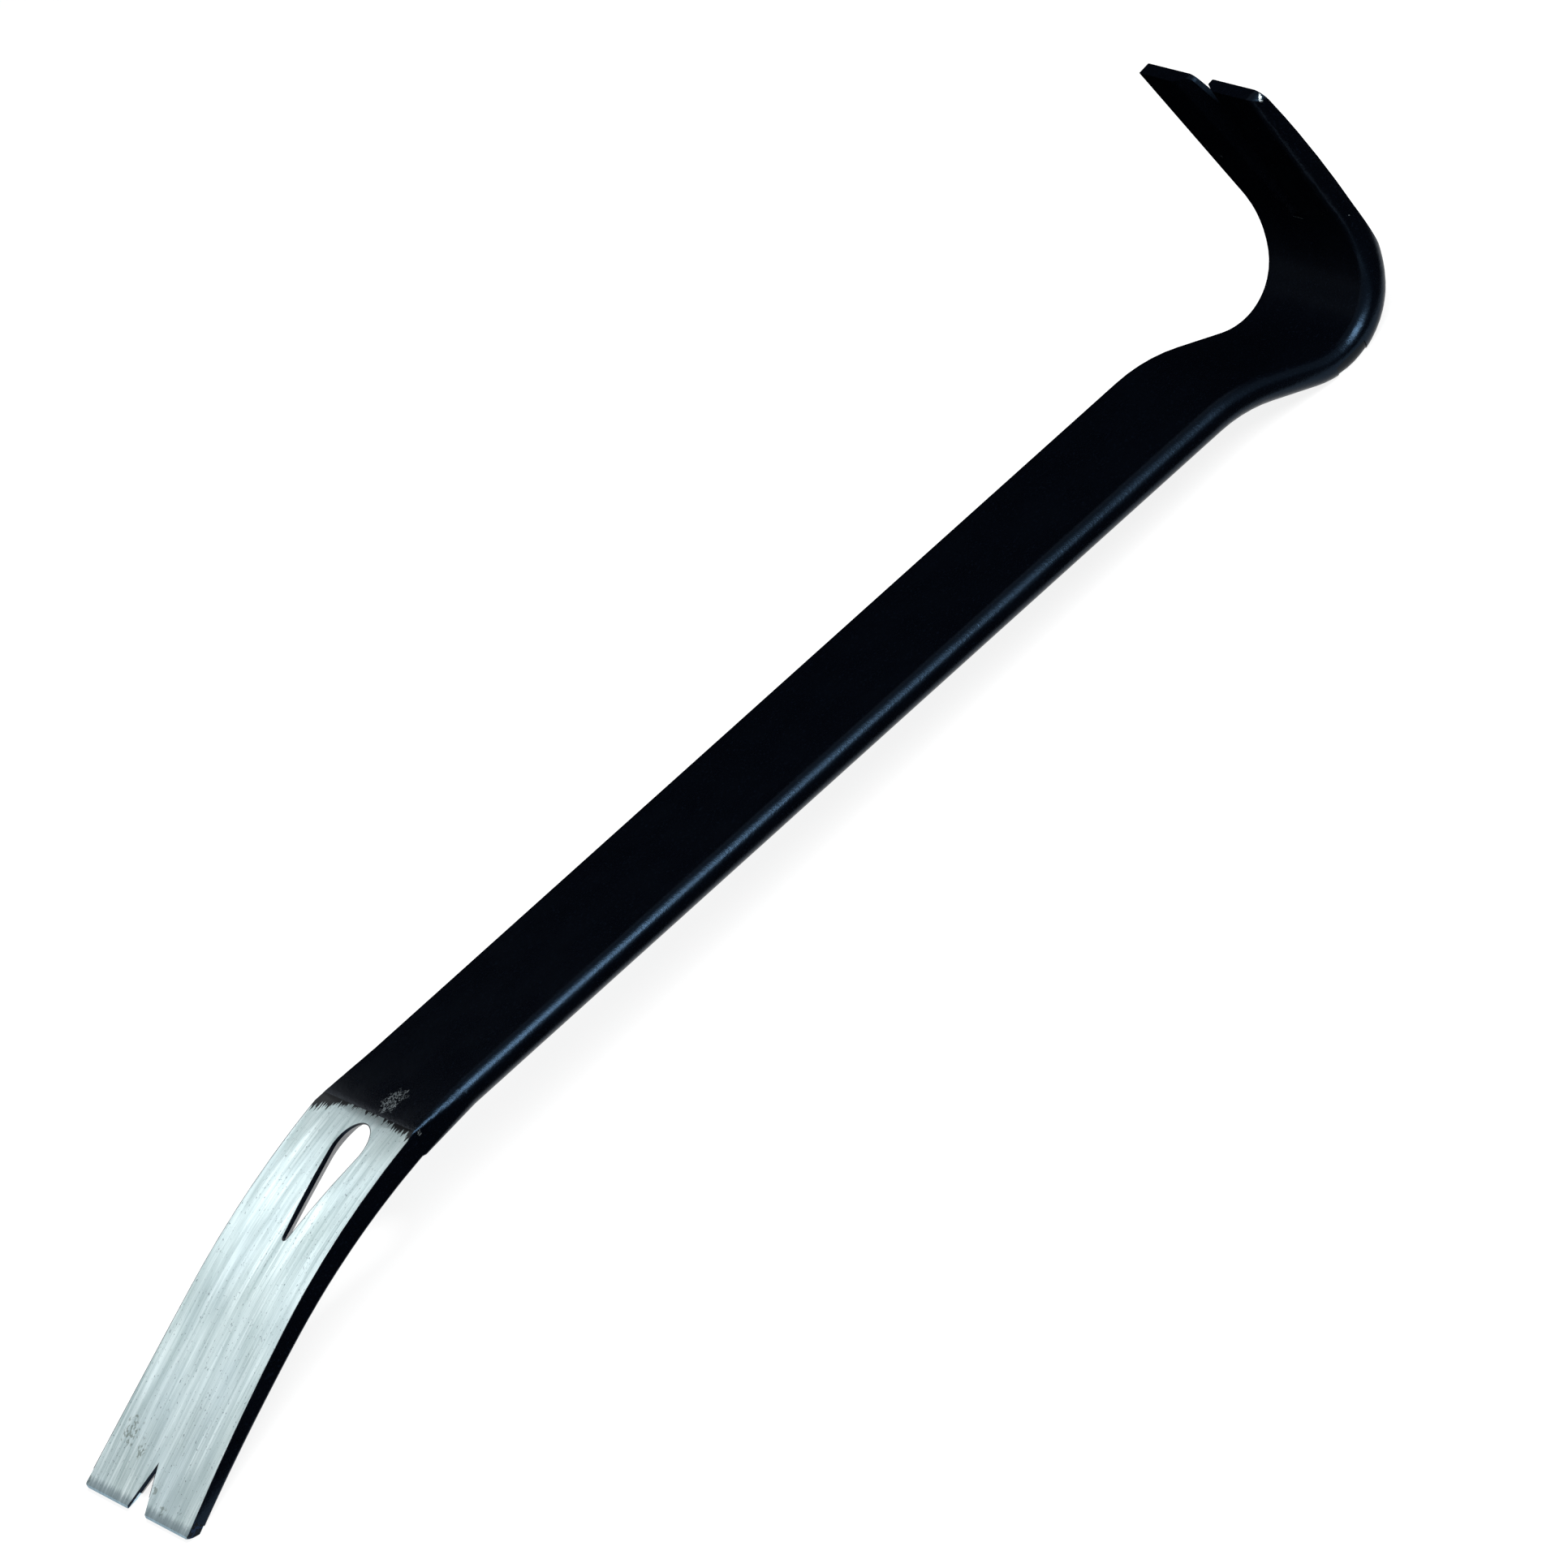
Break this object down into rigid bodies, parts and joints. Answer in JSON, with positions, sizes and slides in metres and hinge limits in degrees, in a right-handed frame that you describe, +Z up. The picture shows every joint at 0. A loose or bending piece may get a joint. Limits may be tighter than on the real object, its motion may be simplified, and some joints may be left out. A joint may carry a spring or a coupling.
{
  "type": "flat pry bar",
  "caption": "One-piece forged steel flat pry bar, black coated, with a ground flared blade, nail slot and right-angle claw.",
  "frame": {"origin": "centre of the bounding box at floor level, with the bar lying on its blade tip and its heel", "axes": "+X along the bar from the blade to the hook, +Y across the bar, +Z up, the side the claw points to"},
  "size_m": [0.3874, 0.0512, 0.0657],
  "materials": {
    "steel": "satin",
    "coat": "satin"
  },
  "bodies": {
    "root": {"forged_bar": "steel", "black_coat": "coat"}
  },
  "joints": []
}
